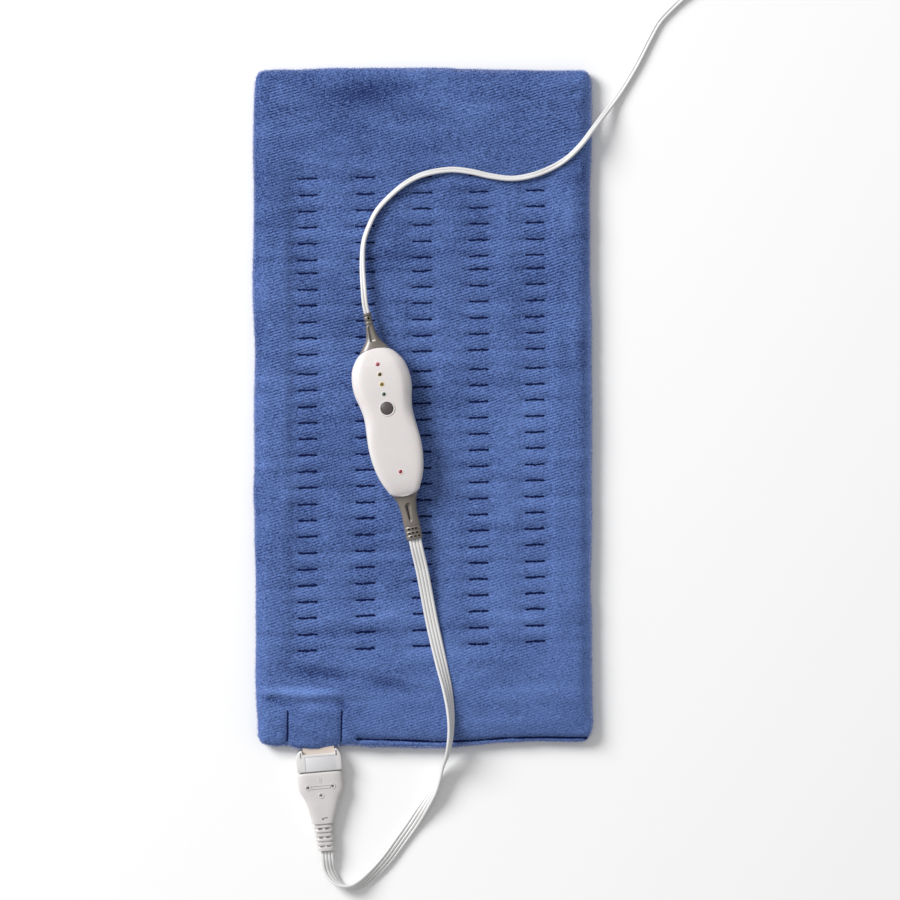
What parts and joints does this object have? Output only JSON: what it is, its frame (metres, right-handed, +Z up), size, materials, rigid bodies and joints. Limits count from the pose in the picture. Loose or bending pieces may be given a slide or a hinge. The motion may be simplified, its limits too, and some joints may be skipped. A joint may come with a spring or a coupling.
{
  "type": "heating pad with controller",
  "caption": "Flat plush heating pad with rows of sewn dashes, a pull-off connector, a flat lead with a waisted push-button hand controller, and a mains cord with a plug.",
  "frame": {"origin": "middle of the pad's underside, on the surface it lies on", "axes": "+Y along the pad, away from the edge with the connector; +Z up from the surface it lies on; +X across the pad"},
  "size_m": [0.4917, 0.9318, 0.0367],
  "materials": {
    "plush": "short brushed pile",
    "felt": "matt felt",
    "wire_jacket": "soft jacket",
    "cream_plastic": "satin moulded",
    "grey_white_vinyl": "satin moulded",
    "white_vinyl": "satin extruded",
    "white_shell": "semi-gloss moulded",
    "button_grey": "satin moulded",
    "grey_rubber": "smooth soft vinyl",
    "board_green": "solder mask",
    "black_plastic": "matt moulded",
    "capacitor_yellow": "satin moulded",
    "fuse_glass": "clear tube with metal caps",
    "aluminium": "bare plate",
    "contact_brass": "bright",
    "blade_metal": "nickel plated",
    "red_lens": "clear tinted lens",
    "olive_lens": "clear tinted lens",
    "amber_lens": "clear tinted lens",
    "green_lens": "clear tinted lens"
  },
  "bodies": {
    "pad": {"upper_panel": "plush", "lower_panel": "plush", "carrier_sheet": "felt", "batting": "felt", "heating_wire": "wire_jacket", "terminal_block": "cream_plastic", "terminal_sleeve_1": "contact_brass", "terminal_sleeve_2": "contact_brass", "terminal_sleeve_3": "contact_brass", "terminal_sleeve_4": "contact_brass"},
    "control_lead": {"connector_front_housing": "grey_white_vinyl", "connector_rear_housing": "grey_white_vinyl", "connector_bend_relief": "grey_white_vinyl", "connector_pin_1": "contact_brass", "connector_pin_2": "contact_brass", "connector_pin_3": "contact_brass", "connector_pin_4": "contact_brass", "flat_lead": "white_vinyl", "upper_shell": "white_shell", "lower_shell": "white_shell", "upper_boot": "grey_rubber", "lower_boot": "grey_rubber", "circuit_board": "board_green", "push_switch": "black_plastic", "mains_header": "black_plastic", "fuse": "fuse_glass", "capacitor": "capacitor_yellow", "control_chip": "black_plastic", "power_switch": "black_plastic", "heat_spreader": "aluminium", "lead_header": "black_plastic", "lamp_1": "red_lens", "lamp_2": "olive_lens", "lamp_3": "amber_lens", "lamp_4": "green_lens", "lamp_5": "red_lens", "mains_cord": "white_vinyl", "mains_cord_coil": "white_vinyl", "plug_body": "white_vinyl", "plug_blade_wide": "blade_metal", "plug_blade_narrow": "blade_metal"},
    "button": {"power_button": "button_grey"}
  },
  "joints": [
    {"name": "connector_pull", "type": "slide", "parent": "pad", "child": "control_lead", "axis": [0.0872, -0.9962, 0], "range_m": [0, 0.02]},
    {"name": "button_press", "type": "slide", "parent": "control_lead", "child": "button", "axis": [0, 0, -1], "range_m": [0, 0.0008], "stiffness_N_per_m": 1500, "springref_m": -0.0004}
  ]
}
